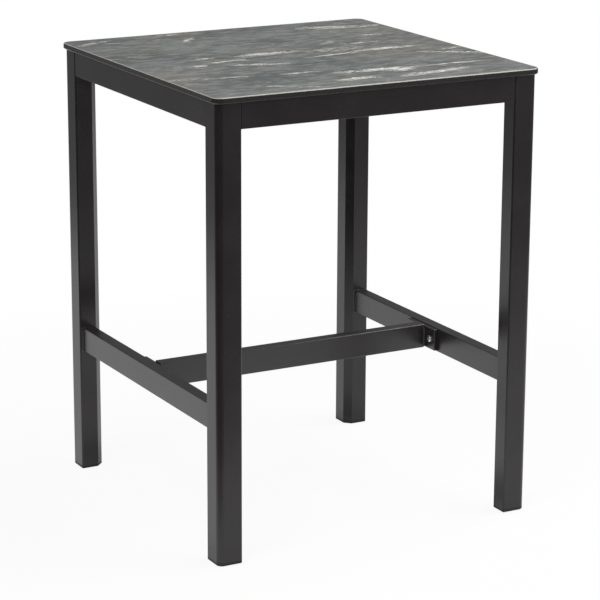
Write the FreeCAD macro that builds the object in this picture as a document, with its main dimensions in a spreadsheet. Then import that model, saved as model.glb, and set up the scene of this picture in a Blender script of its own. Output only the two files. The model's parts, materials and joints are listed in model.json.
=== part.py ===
import FreeCAD, Part
import Sketcher
import os
import re

# A square pub table: a compact laminate top on an aluminium frame, with a foot rest between the legs.
# The frame stands on z = 0 with its centre on the z axis; +X runs to the right along the front
# and +Y runs to the back. All sizes are in millimetres.

SIZES = {
    # Table top
    "top_width": 700,
    "top_depth": 700,
    "top_thickness": 12,
    "top_corner_radius": 18,
    "top_edge_bevel": 2,
    "top_overhang": 6,
    "table_height": 900,
    # Legs, extruded tube
    "leg_size": 50,
    "leg_wall": 2.5,
    "leg_outer_radius": 12,
    "leg_inner_chamfer": 14,
    "leg_side_radius": 3,
    # Aprons under the top
    "apron_height": 50,
    "apron_thickness": 25,
    "apron_wall": 2,
    "apron_setback": 0.8,
    "apron_edge_radius": 1.2,
    # Side stretchers and their end plates
    "stretcher_height": 50,
    "stretcher_thickness": 25,
    "stretcher_wall": 2,
    "stretcher_edge_radius": 1.5,
    "stretcher_underside": 260,
    "end_plate_thickness": 3,
    "end_plate_margin": 4,
    # Cross bar, its bolted end plates and their screws
    "cross_bar_height": 50,
    "cross_bar_thickness": 25,
    "cross_bar_wall": 2,
    "cross_bar_edge_radius": 1.5,
    "cross_plate_length": 105,
    "cross_plate_height": 45,
    "cross_plate_thickness": 8,
    "cross_plate_edge_radius": 1.5,
    "cross_screw_spacing": 71,
    "cross_screw_head_diameter": 14,
    "cross_screw_head_height": 4.4,
    "cross_screw_crown_radius": 3.2,
    "cross_screw_socket_width": 5,
    "cross_screw_socket_depth": 2.6,
    "cross_screw_length": 20,
    # Corner brackets, bent from steel strip
    "bracket_thickness": 3,
    "bracket_height": 45,
    "bracket_gap": 12,
    "bracket_wing_length": 42,
    "bracket_tab_length": 34,
    "bracket_tab_width": 34,
    "bracket_bend_radius": 3,
    "bracket_corner_radius": 5,
    "bracket_notch_width": 4,
    "bracket_screw_rise": 12,
    "bracket_screw_diameter": 4.2,
    "bracket_screw_length": 13,
    "bracket_screw_head_diameter": 8,
    "bracket_screw_head_height": 2.8,
    "bracket_screw_socket_width": 2.5,
    # Leg bolts, washers and rivet nuts
    "bolt_diameter": 8,
    "bolt_length": 30,
    "bolt_head_width": 13,
    "bolt_head_height": 5.3,
    "washer_diameter": 17,
    "washer_thickness": 1.6,
    "rivet_nut_diameter": 11,
    "rivet_nut_length": 15,
    "rivet_flange_diameter": 14,
    "rivet_flange_thickness": 1.2,
    # Screws and inserts that hold the top
    "top_screw_diameter": 6,
    "top_screw_length": 10,
    "top_screw_head_diameter": 12,
    "top_screw_head_height": 3.3,
    "top_screw_socket_width": 4,
    "top_insert_diameter": 9,
    "top_insert_length": 9,
    # Plastic caps in the legs' lower ends
    "cap_rim_height": 6.5,
    "cap_edge_radius": 2.4,
    "cap_plug_height": 22,
    "cap_plug_clearance": 0.1,
    "cap_floor": 3.5,
    "cap_plug_wall": 5.4,
    "cap_boss_diameter": 17,
    "cap_bush_diameter": 11,
    "cap_bush_length": 16,
    # Levelling feet
    "foot_pad_diameter": 34,
    "foot_pad_height": 4,
    "foot_pad_bevel": 1,
    "foot_proud": 1.5,
    "foot_gap": 0.3,
    "foot_recess_gap": 0.5,
    "foot_stud_diameter": 8,
    "foot_stud_length": 34,
    "foot_stud_root": 2.5,
    "foot_stud_bevel": 1,
    # Clearances on the radius
    "thread_clearance": 0.05,
    "hole_clearance": 0.25,
}

# Formulas that several pieces share
HALF_X = "(top_width / 2 - top_overhang)"
HALF_Y = "(top_depth / 2 - top_overhang)"
UNDER_TOP = "(table_height - top_thickness)"
CAP_UNDERSIDE = "foot_proud"
CAP_RECESS = "(foot_pad_height - foot_proud + foot_gap)"
LEG_FOOT = f"({CAP_UNDERSIDE} + cap_rim_height)"
LEG_CENTRE_X = f"({HALF_X} - leg_size / 2)"
LEG_CENTRE_Y = f"({HALF_Y} - leg_size / 2)"
LEG_GAP_X = f"(2 * ({HALF_X} - leg_size))"
LEG_GAP_Y = f"(2 * ({HALF_Y} - leg_size))"
APRON_INSET = "(apron_setback + apron_thickness)"
APRON_MIDDLE = f"({UNDER_TOP} - apron_height / 2)"
BRACKET_X = f"({HALF_X} - {APRON_INSET})"
BRACKET_Y = f"({HALF_Y} - {APRON_INSET})"
BRACKET_FOOT = f"({UNDER_TOP} - bracket_height)"
BRACKET_MIDDLE = f"({UNDER_TOP} - bracket_height / 2)"
# The leg's chamfer and the bracket's web are lines of constant x + y from where the aprons meet.
CHAMFER_SUM = f"(2 * (leg_size - {APRON_INSET}) - leg_inner_chamfer)"
WEB_SUM = f"({CHAMFER_SUM} + bracket_gap * sqrt(2))"
WEB_INNER = f"({WEB_SUM} + bracket_thickness * (sqrt(2) - 1))"
WING_END = f"({WEB_SUM} + bracket_wing_length)"
WING_SCREW = f"({WEB_SUM} + bracket_wing_length / 2)"
TAB_HOLE = f"({WEB_SUM} / 2 + (bracket_thickness + bracket_tab_length) / (2 * sqrt(2)))"
# The stretchers stand on the middle of the legs' flat sides, between the side radius and the chamfer.
LEG_FLAT_MIDDLE = "((leg_side_radius + leg_size - leg_inner_chamfer) / 2)"
STRETCHER_X = f"({HALF_X} - {LEG_FLAT_MIDDLE})"
STRETCHER_FACE_X = f"({STRETCHER_X} - stretcher_thickness / 2)"
END_PLATE_WIDTH = "(stretcher_thickness + 2 * end_plate_margin)"
STRETCHER_MIDDLE = "(stretcher_underside + stretcher_height / 2)"
CROSS_PLATE_X = f"({STRETCHER_FACE_X} - cross_plate_thickness)"
RIVET_HOLE = "(rivet_nut_diameter + 2 * thread_clearance)"
BOLT_HOLE = "(bolt_diameter + 2 * hole_clearance)"

QUARTER_TURN = 90
DIAGONAL = 45
# The swing that turns an XZ sketch's normal from -Y to the diagonal between +X and +Y
DIAGONAL_SWING = QUARTER_TURN + DIAGONAL
HEX_CORNERS = 6
HEAD_BEVEL = 30
SAME_PLACE = 1e-3

# Each corner: the signs of its x and y, and the turn that brings the front left piece there
CORNERS = {
    "front_left": (-1, -1, 0),
    "front_right": (1, -1, QUARTER_TURN),
    "back_right": (1, 1, 2 * QUARTER_TURN),
    "back_left": (-1, 1, 3 * QUARTER_TURN),
}
SIDES = {"left": -1, "right": 1}
UPRIGHT = FreeCAD.Rotation()

doc = FreeCAD.newDocument("pub_table")
sheet = doc.addObject("Spreadsheet::Sheet", "Sizes")
for row, (alias, size) in enumerate(SIZES.items(), start=1):
    sheet.set(f"A{row}", alias)
    sheet.set(f"B{row}", str(size))
    sheet.setAlias(f"B{row}", alias)
doc.recompute()

pieces = []


def cells(formula):
    """The formula with each size's name replaced by its cell."""
    return re.sub(r"[a-z_]+", lambda word: f"Sizes.{word[0]}" if word[0] in SIZES else word[0], formula)


def measure(formula):
    """The formula's value now."""
    return float(sheet.evalExpression(cells(formula)))


def turn_about_z(degrees):
    """A rotation about the upright axis."""
    return FreeCAD.Rotation(FreeCAD.Vector(0, 0, 1), degrees)


def place(piece, x, y, z, rotation=UPRIGHT):
    """Turn a piece and bind its place to three formulas."""
    piece.Placement = FreeCAD.Placement(FreeCAD.Vector(), rotation)
    for axis, formula in zip("xyz", (x, y, z)):
        piece.setExpression(f"Placement.Base.{axis}", cells(formula))


def new_body(label):
    """An empty body with its label."""
    body = doc.addObject("PartDesign::Body", label)
    body.Label = label
    return body


def keep(piece):
    """List a finished sub-part for writing."""
    pieces.append(piece)
    return piece


def sketch_on(body, plane, offset="0", swing=0):
    """A sketch on one of the body's origin planes, moved along its normal or swung about its own y axis."""
    sketch = body.newObject("Sketcher::SketchObject", f"{body.Name}_sketch")
    origin_plane = next(part for part in body.Origin.OriginFeatures if part.Role == plane)
    sketch.AttachmentSupport = [(origin_plane, "")]
    sketch.MapMode = "FlatFace"
    swung = FreeCAD.Rotation(FreeCAD.Vector(0, 1, 0), swing)
    sketch.AttachmentOffset = FreeCAD.Placement(FreeCAD.Vector(), swung)
    sketch.setExpression("AttachmentOffset.Base.z", cells(offset))
    return sketch


def bind_point(sketch, geometry, point, x, y):
    """Bind a point of the sketch's geometry to two formulas."""
    for kind, formula in (("DistanceX", x), ("DistanceY", y)):
        rule = Sketcher.Constraint(kind, -1, 1, geometry, point, measure(formula))
        number = sketch.addConstraint(rule)
        sketch.setExpression(f"Constraints[{number}]", cells(formula))


def draw_outline(sketch, corners):
    """A closed outline of straight lines through corners that are pairs of formulas."""
    spots = [FreeCAD.Vector(measure(x), measure(y), 0) for x, y in corners]
    first = sketch.GeometryCount
    for start, end in zip(spots, spots[1:] + spots[:1]):
        sketch.addGeometry(Part.LineSegment(start, end), False)
    for index, (x, y) in enumerate(corners):
        following = first + (index + 1) % len(corners)
        sketch.addConstraint(Sketcher.Constraint("Coincident", first + index, 2, following, 1))
        bind_point(sketch, first + index, 1, x, y)


def draw_rectangle(sketch, width, height):
    """A rectangle centred on the sketch's origin."""
    right = f"({width}) / 2"
    top = f"({height}) / 2"
    left = f"-({width}) / 2"
    bottom = f"-({height}) / 2"
    draw_outline(sketch, [(left, bottom), (right, bottom), (right, top), (left, top)])


def draw_hexagon(sketch, width):
    """A hexagon of the given width across its flats, centred on the sketch's origin."""
    reach = f"({width}) / sqrt(3)"
    corners = []
    for index in range(HEX_CORNERS):
        angle = 360 * index // HEX_CORNERS
        corners.append((f"{reach} * cos({angle} deg)", f"{reach} * sin({angle} deg)"))
    draw_outline(sketch, corners)


def draw_circle(sketch, x, y, diameter):
    """A circle whose centre and diameter are formulas."""
    centre = FreeCAD.Vector(measure(x), measure(y), 0)
    upward = FreeCAD.Vector(0, 0, 1)
    circle = sketch.addGeometry(Part.Circle(centre, upward, measure(diameter) / 2), False)
    bind_point(sketch, circle, 3, x, y)
    number = sketch.addConstraint(Sketcher.Constraint("Diameter", circle, measure(diameter)))
    sketch.setExpression(f"Constraints[{number}]", cells(diameter))


def pad(body, sketch, length, backward=False):
    """Extrude a sketch along its normal, or backward."""
    feature = body.newObject("PartDesign::Pad", f"{body.Name}_pad")
    feature.Profile = sketch
    feature.Reversed = backward
    feature.setExpression("Length", cells(length))
    doc.recompute()
    return feature


def pocket(body, sketch, length, along_normal=False):
    """Cut a sketch into the body against its normal, or along it, and test that it cut something."""
    before = body.Shape.Volume
    feature = body.newObject("PartDesign::Pocket", f"{body.Name}_pocket")
    feature.Profile = sketch
    feature.Reversed = along_normal
    feature.setExpression("Length", cells(length))
    doc.recompute()
    if not body.Shape.Volume < before:
        raise ValueError(f"a pocket of {body.Label} cuts nothing")
    return feature


def revolve(body, corners, kind="Revolution"):
    """Turn an outline of radius and height pairs about the body's z axis, to add to it or cut it."""
    sketch = sketch_on(body, "XZ_Plane")
    draw_outline(sketch, corners)
    feature = body.newObject(f"PartDesign::{kind}", f"{body.Name}_turning")
    feature.Profile = sketch
    feature.ReferenceAxis = (sketch, ["V_Axis"])
    feature.Angle = 360
    doc.recompute()
    return feature


def soften(body, feature, kind, size, chosen):
    """Fillet or chamfer the edges of a feature whose middles pass a test."""
    names = []
    for number, edge in enumerate(feature.Shape.Edges, start=1):
        if chosen(edge.CenterOfMass):
            names.append(f"Edge{number}")
    softened = body.newObject(f"PartDesign::{kind}", f"{body.Name}_{kind.lower()}")
    softened.Base = (feature, names)
    softened.setExpression({"Fillet": "Radius", "Chamfer": "Size"}[kind], cells(size))
    doc.recompute()
    return softened


def near(value, formula):
    """Whether a coordinate lies on a formula's value."""
    return abs(value - measure(formula)) < SAME_PLACE


def upright_edge(width, *signs):
    """A test for a square post's upright edges at the given signs of x and y."""
    def chosen(point):
        on_x = [near(point.x, f"{x_sign} * ({width}) / 2") for x_sign, _ in signs]
        on_y = [near(point.y, f"{y_sign} * ({width}) / 2") for _, y_sign in signs]
        return any(x and y for x, y in zip(on_x, on_y))

    return chosen


def shape_corner_post(body, feature, width, outer_radius, inner_chamfer):
    """Round a square post's outer corner and chamfer its inner corner."""
    rounded = soften(body, feature, "Fillet", outer_radius, upright_edge(width, (-1, -1)))
    return soften(body, rounded, "Chamfer", inner_chamfer, upright_edge(width, (1, 1)))


def ease_side_corners(body, feature, width, radius):
    """Round the two corners of a square post that lie between its outer and inner corners."""
    return soften(body, feature, "Fillet", radius, upright_edge(width, (1, -1), (-1, 1)))


def make_tube(label, length, height, thickness, wall, radius):
    """A rectangular tube along x, centred on its body's origin, with eased long edges."""
    body = new_body(label)
    section = sketch_on(body, "YZ_Plane", offset=f"-({length}) / 2")
    draw_rectangle(section, thickness, height)
    draw_rectangle(section, f"{thickness} - 2 * {wall}", f"{height} - 2 * {wall}")
    extrusion = pad(body, section, length)

    def on_long_edge(point):
        half_thick = f"{thickness} / 2"
        half_high = f"{height} / 2"
        return near(abs(point.y), half_thick) and near(abs(point.z), half_high)

    soften(body, extrusion, "Fillet", radius, on_long_edge)
    return body


def make_group(label, pattern, places):
    """One node of identical separate solids: links to a pattern body, each at its own place."""
    copies = []
    for index, (x, y, z, rotation) in enumerate(places, start=1):
        copy = doc.addObject("App::Link", f"{label}_{index}")
        copy.LinkedObject = pattern
        copy.LinkTransform = False
        place(copy, x, y, z, rotation)
        copies.append(copy)
    group = doc.addObject("Part::Compound", label)
    group.Label = label
    group.Links = copies
    return keep(group)


# Table top

def make_table_top():
    """The square top with rounded corners, eased edges and blind holes for the inserts."""
    body = new_body("table_top")
    outline = sketch_on(body, "XY_Plane")
    draw_rectangle(outline, "top_width", "top_depth")
    sheet_pad = pad(body, outline, "top_thickness")
    rounded = soften(
        body, sheet_pad, "Fillet", "top_corner_radius",
        lambda point: near(point.z, "top_thickness / 2"),
    )
    soften(
        body, rounded, "Chamfer", "top_edge_bevel",
        lambda point: near(point.z, "0") or near(point.z, "top_thickness"),
    )
    holes = sketch_on(body, "XY_Plane")
    for x_sign, y_sign, _ in CORNERS.values():
        draw_circle(
            holes, f"{x_sign} * ({BRACKET_X} - {TAB_HOLE})", f"{y_sign} * ({BRACKET_Y} - {TAB_HOLE})",
            "top_insert_diameter + 2 * thread_clearance",
        )
    pocket(body, holes, "top_insert_length", along_normal=True)
    place(body, "0", "0", UNDER_TOP)
    keep(body)


# Legs, caps and levelling feet

def make_leg(corner, x_sign, y_sign, degrees):
    """One hollow leg with a hole in its chamfer for the rivet nut."""
    body = new_body(f"leg_{corner}")
    section = sketch_on(body, "XY_Plane")
    draw_rectangle(section, "leg_size", "leg_size")
    length = f"{UNDER_TOP} - {LEG_FOOT}"
    post = pad(body, section, length)
    shaped = shape_corner_post(body, post, "leg_size", "leg_outer_radius", "leg_inner_chamfer")
    ends = []
    for number, face in enumerate(shaped.Shape.Faces, start=1):
        if near(face.CenterOfMass.z, "0") or near(face.CenterOfMass.z, length):
            ends.append(f"Face{number}")
    hollow = body.newObject("PartDesign::Thickness", f"{body.Name}_wall")
    hollow.Base = (shaped, ends)
    hollow.Reversed = True
    hollow.Join = "Intersection"
    hollow.setExpression("Value", cells("leg_wall"))
    doc.recompute()
    ease_side_corners(body, hollow, "leg_size", "leg_side_radius")
    hole = sketch_on(body, "XZ_Plane", swing=DIAGONAL_SWING)
    draw_circle(hole, "0", f"{BRACKET_MIDDLE} - {LEG_FOOT}", RIVET_HOLE)
    pocket(body, hole, "leg_size", along_normal=True)
    place(body, f"{x_sign} * {LEG_CENTRE_X}", f"{y_sign} * {LEG_CENTRE_Y}", LEG_FOOT, turn_about_z(degrees))
    keep(body)


def make_leg_cap(corner, x_sign, y_sign, degrees):
    """One plastic cap: a rim recessed for the foot, and a hollow plug with a boss for the threaded bush."""
    body = new_body(f"leg_cap_{corner}")
    plug_width = "(leg_size - 2 * leg_wall - 2 * cap_plug_clearance)"
    inward = "(leg_wall + cap_plug_clearance)"
    plug_outline = sketch_on(body, "XY_Plane", offset="cap_rim_height")
    draw_rectangle(plug_outline, plug_width, plug_width)
    plug = pad(body, plug_outline, "cap_plug_height")
    shape_corner_post(
        body, plug, plug_width, f"leg_outer_radius - {inward}",
        f"leg_inner_chamfer - {inward} * (2 - sqrt(2))",
    )
    rim_outline = sketch_on(body, "XY_Plane")
    draw_rectangle(rim_outline, "leg_size", "leg_size")
    rim = pad(body, rim_outline, "cap_rim_height")
    shaped = shape_corner_post(body, rim, "leg_size", "leg_outer_radius", "leg_inner_chamfer")
    eased = ease_side_corners(body, shaped, "leg_size", "leg_side_radius")
    soften(body, eased, "Fillet", "cap_edge_radius", lambda point: near(point.z, "0"))
    recess = sketch_on(body, "XY_Plane")
    draw_circle(recess, "0", "0", "foot_pad_diameter + 2 * foot_recess_gap")
    pocket(body, recess, CAP_RECESS, along_normal=True)
    plug_top = "cap_rim_height + cap_plug_height"
    cavity = sketch_on(body, "XY_Plane", offset=plug_top)
    draw_circle(cavity, "0", "0", f"{plug_width} - 2 * cap_plug_wall")
    draw_circle(cavity, "0", "0", "cap_boss_diameter")
    pocket(body, cavity, f"{plug_top} - {CAP_RECESS} - cap_floor")
    bush_seat = sketch_on(body, "XY_Plane", offset=plug_top)
    draw_circle(bush_seat, "0", "0", "cap_bush_diameter + 2 * thread_clearance")
    pocket(body, bush_seat, "cap_bush_length")
    stud_hole = sketch_on(body, "XY_Plane", offset=plug_top)
    draw_circle(stud_hole, "0", "0", "foot_stud_diameter + 2 * hole_clearance")
    pocket(body, stud_hole, plug_top)
    place(
        body, f"{x_sign} * {LEG_CENTRE_X}", f"{y_sign} * {LEG_CENTRE_Y}", CAP_UNDERSIDE,
        turn_about_z(degrees),
    )
    keep(body)


def make_levelling_foot(corner, x_sign, y_sign):
    """One foot: a round pad that stands on the floor and the threaded stud that is set in it."""
    centre = (f"{x_sign} * {LEG_CENTRE_X}", f"{y_sign} * {LEG_CENTRE_Y}")
    root = "foot_pad_height - foot_stud_root"
    seat_radius = "(foot_stud_diameter / 2 + thread_clearance)"
    pad_body = new_body(f"foot_pad_{corner}")
    revolve(pad_body, [
        ("0", "0"),
        ("foot_pad_diameter / 2 - foot_pad_bevel", "0"),
        ("foot_pad_diameter / 2", "foot_pad_bevel"),
        ("foot_pad_diameter / 2", "foot_pad_height - foot_pad_bevel"),
        ("foot_pad_diameter / 2 - foot_pad_bevel", "foot_pad_height"),
        (seat_radius, "foot_pad_height"),
        (seat_radius, root),
        ("0", root),
    ])
    place(pad_body, *centre, "0")
    keep(pad_body)
    stud = new_body(f"foot_stud_{corner}")
    section = sketch_on(stud, "XY_Plane")
    draw_circle(section, "0", "0", "foot_stud_diameter")
    rod = pad(stud, section, "foot_stud_length")
    soften(
        stud, rod, "Chamfer", "foot_stud_bevel",
        lambda point: near(point.z, "foot_stud_length"),
    )
    place(stud, *centre, root)
    keep(stud)


# Aprons and corner brackets

def make_apron(side, length, x, y, degrees):
    """One apron tube, with pilot holes in its inner wall for the brackets' screws."""
    body = make_tube(
        f"apron_{side}", length, "apron_height", "apron_thickness", "apron_wall", "apron_edge_radius",
    )
    holes = sketch_on(body, "XZ_Plane")
    along = f"({length} / 2 + leg_size - {APRON_INSET} - {WING_SCREW})"
    middle = "(apron_height - bracket_height) / 2"
    for end in (-1, 1):
        for rise in (-1, 1):
            draw_circle(
                holes, f"{end} * {along}", f"{middle} + {rise} * bracket_screw_rise",
                "bracket_screw_diameter + 2 * thread_clearance",
            )
    pocket(body, holes, "apron_thickness")
    place(body, x, y, APRON_MIDDLE, turn_about_z(degrees))
    keep(body)


def bend_strip(body, strip):
    """Round the bracket's two upright bends, inside and outside, and the free corners of its wings."""
    inner_bend = (WEB_INNER, "bracket_thickness")
    outer_bend = (WEB_SUM, "0")
    wing_end = (WING_END, "bracket_thickness / 2")

    def at_either(point, spot):
        straight = near(point.x, spot[0]) and near(point.y, spot[1])
        return straight or (near(point.x, spot[1]) and near(point.y, spot[0]))

    inside = soften(
        body, strip, "Fillet", "bracket_bend_radius",
        lambda point: at_either(point, inner_bend),
    )
    outside = soften(
        body, inside, "Fillet", "bracket_bend_radius + bracket_thickness",
        lambda point: at_either(point, outer_bend),
    )
    soften(
        body, outside, "Fillet", "bracket_corner_radius",
        lambda point: at_either(point, wing_end) and not near(point.z, "bracket_height / 2"),
    )


def on_diagonal(along, out):
    """The x and y formulas of a point along the bracket's web from its middle and out from its leg side."""
    x = f"({WEB_SUM} / 2 + ({out} + {along}) / sqrt(2))"
    y = f"({WEB_SUM} / 2 + ({out} - ({along})) / sqrt(2))"
    return x, y


def bend_tab(body):
    """Bend a tab out of the bracket's upper edge, between two relief notches, and round its free corners."""
    half_width = "bracket_tab_width / 2"
    reach = "(bracket_thickness + bracket_tab_length)"
    tab = sketch_on(body, "XY_Plane", offset="bracket_height")
    draw_outline(tab, [
        on_diagonal(half_width, "0"),
        on_diagonal(half_width, reach),
        on_diagonal(f"-{half_width}", reach),
        on_diagonal(f"-{half_width}", "0"),
    ])
    pad(body, tab, "bracket_thickness", backward=True)
    notches = sketch_on(body, "XY_Plane", offset="bracket_height")
    for side in (-1, 1):
        near_side = f"{side} * {half_width}"
        far_side = f"{side} * ({half_width} + bracket_notch_width)"
        draw_outline(notches, [
            on_diagonal(near_side, "-bracket_thickness"),
            on_diagonal(far_side, "-bracket_thickness"),
            on_diagonal(far_side, "2 * bracket_thickness"),
            on_diagonal(near_side, "2 * bracket_thickness"),
        ])
    cut = pocket(body, notches, "bracket_bend_radius + 2 * bracket_thickness")
    outer_bend = on_diagonal("0", "0")
    inner_bend = on_diagonal("0", "bracket_thickness")

    def at_bend(point, spot, height):
        return near(point.x, spot[0]) and near(point.y, spot[1]) and near(point.z, height)

    def on_tab_end(point):
        at_reach = near(point.x + point.y, f"{WEB_SUM} + sqrt(2) * {reach}")
        return at_reach and near(point.z, "bracket_height - bracket_thickness / 2")

    outside = soften(
        body, cut, "Fillet", "bracket_bend_radius + bracket_thickness",
        lambda point: at_bend(point, outer_bend, "bracket_height"),
    )
    inside = soften(
        body, outside, "Fillet", "bracket_bend_radius",
        lambda point: at_bend(point, inner_bend, "bracket_height - bracket_thickness"),
    )
    soften(body, inside, "Fillet", "bracket_corner_radius", on_tab_end)


def make_corner_bracket(corner, x_sign, y_sign, degrees):
    """One bent bracket: a web across the leg's chamfer, a wing on each apron and a tab under the top."""
    body = new_body(f"corner_bracket_{corner}")
    strip = sketch_on(body, "XY_Plane")
    draw_outline(strip, [
        (WING_END, "0"),
        (WING_END, "bracket_thickness"),
        (WEB_INNER, "bracket_thickness"),
        ("bracket_thickness", WEB_INNER),
        ("bracket_thickness", WING_END),
        ("0", WING_END),
        ("0", WEB_SUM),
        (WEB_SUM, "0"),
    ])
    bend_strip(body, pad(body, strip, "bracket_height"))
    bend_tab(body)
    tab_hole = sketch_on(body, "XY_Plane", offset="bracket_height")
    draw_circle(tab_hole, TAB_HOLE, TAB_HOLE, "top_screw_diameter + 2 * hole_clearance")
    pocket(body, tab_hole, "bracket_thickness")
    web_hole = sketch_on(body, "XZ_Plane", swing=DIAGONAL_SWING)
    draw_circle(web_hole, "0", "bracket_height / 2", BOLT_HOLE)
    pocket(body, web_hole, WING_END, along_normal=True)
    for plane, cuts_along_normal in (("XZ_Plane", False), ("YZ_Plane", True)):
        wing_holes = sketch_on(body, plane)
        for rise in (-1, 1):
            draw_circle(
                wing_holes, WING_SCREW, f"bracket_height / 2 + {rise} * bracket_screw_rise",
                "bracket_screw_diameter + 2 * hole_clearance",
            )
        pocket(body, wing_holes, "bracket_thickness", along_normal=cuts_along_normal)
    place(body, f"{x_sign} * {BRACKET_X}", f"{y_sign} * {BRACKET_Y}", BRACKET_FOOT, turn_about_z(degrees))
    keep(body)


# Side stretchers, cross bar and their plates

def make_side_stretcher(side, x_sign):
    """One stretcher along the table's side, with holes for rivet nuts, and the plates on its two ends."""
    length = f"({LEG_GAP_Y} - 2 * end_plate_thickness)"
    body = make_tube(
        f"side_stretcher_{side}", length, "stretcher_height", "stretcher_thickness", "stretcher_wall",
        "stretcher_edge_radius",
    )
    holes = sketch_on(body, "XZ_Plane")
    for end in (-1, 1):
        draw_circle(holes, f"{end} * cross_screw_spacing / 2", "0", RIVET_HOLE)
    pocket(body, holes, "stretcher_thickness")
    x = f"{x_sign} * {STRETCHER_X}"
    place(body, x, "0", STRETCHER_MIDDLE, turn_about_z(x_sign * QUARTER_TURN))
    keep(body)

    def on_plate_corner(point):
        at_side = near(abs(point.x), f"{END_PLATE_WIDTH} / 2")
        return at_side and near(abs(point.z), "stretcher_height / 2")

    for end, y_sign in (("front", -1), ("back", 1)):
        plate = new_body(f"stretcher_end_plate_{end}_{side}")
        outline = sketch_on(plate, "XZ_Plane", offset="-end_plate_thickness / 2")
        draw_rectangle(outline, END_PLATE_WIDTH, "stretcher_height")
        slab = pad(plate, outline, "end_plate_thickness")
        soften(plate, slab, "Fillet", "stretcher_edge_radius", on_plate_corner)
        place(plate, x, f"{y_sign} * ({LEG_GAP_Y} - end_plate_thickness) / 2", STRETCHER_MIDDLE)
        keep(plate)


def make_cross_bar():
    """The foot rest between the side stretchers, and the drilled plates on its ends."""
    bar = make_tube(
        "cross_bar", f"2 * {CROSS_PLATE_X}", "cross_bar_height", "cross_bar_thickness", "cross_bar_wall",
        "cross_bar_edge_radius",
    )
    place(bar, "0", "0", STRETCHER_MIDDLE)
    keep(bar)
    for side, x_sign in SIDES.items():
        plate = new_body(f"cross_bar_end_plate_{side}")
        outline = sketch_on(plate, "YZ_Plane")
        draw_rectangle(outline, "cross_plate_length", "cross_plate_height")
        slab = pad(plate, outline, "cross_plate_thickness")
        soften(
            plate, slab, "Fillet", "cross_plate_edge_radius",
            lambda point: near(point.x, "0"),
        )
        for diameter, depth in (
            ("rivet_flange_diameter + 2 * hole_clearance", "rivet_flange_thickness + thread_clearance"),
            (BOLT_HOLE, "cross_plate_thickness"),
        ):
            holes = sketch_on(plate, "YZ_Plane", offset="cross_plate_thickness")
            for end in (-1, 1):
                draw_circle(holes, f"{end} * cross_screw_spacing / 2", "0", diameter)
            pocket(plate, holes, depth)
        outward = turn_about_z((1 - x_sign) * QUARTER_TURN)
        place(plate, f"{x_sign} * {CROSS_PLATE_X}", "0", STRETCHER_MIDDLE, outward)
        keep(plate)


# Fasteners, each modelled once with its seat at z = 0 and its shank pointing down

def make_hex_bolt():
    """A hexagon-head bolt with its head's corners turned down."""
    bolt = new_body("hex_bolt")
    head = sketch_on(bolt, "XY_Plane")
    draw_hexagon(head, "bolt_head_width")
    pad(bolt, head, "bolt_head_height")
    flat = "bolt_head_width / 2"
    past_corner = "(bolt_head_width / sqrt(3) + hole_clearance)"
    drop = f"({past_corner} - {flat}) * tan({HEAD_BEVEL} deg)"
    revolve(bolt, [
        (flat, "bolt_head_height"),
        (past_corner, "bolt_head_height"),
        (past_corner, f"bolt_head_height - {drop}"),
    ], kind="Groove")
    shank = sketch_on(bolt, "XY_Plane")
    draw_circle(shank, "0", "0", "bolt_diameter")
    pad(bolt, shank, "bolt_length", backward=True)
    return bolt


def make_button_screw():
    """A button-head screw with a hexagon socket."""
    screw = new_body("button_screw")
    turned = revolve(screw, [
        ("0", "-cross_screw_length"),
        ("bolt_diameter / 2", "-cross_screw_length"),
        ("bolt_diameter / 2", "0"),
        ("cross_screw_head_diameter / 2", "0"),
        ("cross_screw_head_diameter / 2", "cross_screw_head_height"),
        ("0", "cross_screw_head_height"),
    ])
    soften(
        screw, turned, "Fillet", "cross_screw_crown_radius",
        lambda point: near(point.z, "cross_screw_head_height"),
    )
    socket = sketch_on(screw, "XY_Plane", offset="cross_screw_head_height")
    draw_hexagon(socket, "cross_screw_socket_width")
    pocket(screw, socket, "cross_screw_socket_depth")
    return screw


def make_pan_screw(name, diameter, length, head_diameter, head_height, socket_width):
    """A round-head screw with a hexagon socket half as deep as its head."""
    screw = new_body(name)
    revolve(screw, [
        ("0", f"-{length}"),
        (f"{diameter} / 2", f"-{length}"),
        (f"{diameter} / 2", "0"),
        (f"{head_diameter} / 2", "0"),
        (f"{head_diameter} / 2", f"{head_height} / 2"),
        (f"{head_diameter} / 3", head_height),
        ("0", head_height),
    ])
    socket = sketch_on(screw, "XY_Plane", offset=head_height)
    draw_hexagon(socket, socket_width)
    pocket(screw, socket, f"{head_height} / 2")
    return screw


def make_ring(name, outer, inner, bottom, top):
    """A plain ring about the z axis."""
    ring = new_body(name)
    revolve(ring, [
        (f"({inner}) / 2", bottom),
        (f"({outer}) / 2", bottom),
        (f"({outer}) / 2", top),
        (f"({inner}) / 2", top),
    ])
    return ring


def make_rivet_nut():
    """A threaded rivet nut: its flange stands above z = 0 and its body hangs below."""
    nut = new_body("rivet_nut")
    bore = "(bolt_diameter / 2 + thread_clearance)"
    revolve(nut, [
        (bore, "rivet_flange_thickness - rivet_nut_length"),
        ("rivet_nut_diameter / 2", "rivet_flange_thickness - rivet_nut_length"),
        ("rivet_nut_diameter / 2", "0"),
        ("rivet_flange_diameter / 2", "0"),
        ("rivet_flange_diameter / 2", "rivet_flange_thickness"),
        (bore, "rivet_flange_thickness"),
    ])
    return nut


def facing(degrees):
    """The rotation that lays a fastener's z axis level and points it in a direction seen from above."""
    return turn_about_z(degrees) * FreeCAD.Rotation(FreeCAD.Vector(0, 1, 0), QUARTER_TURN)


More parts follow.
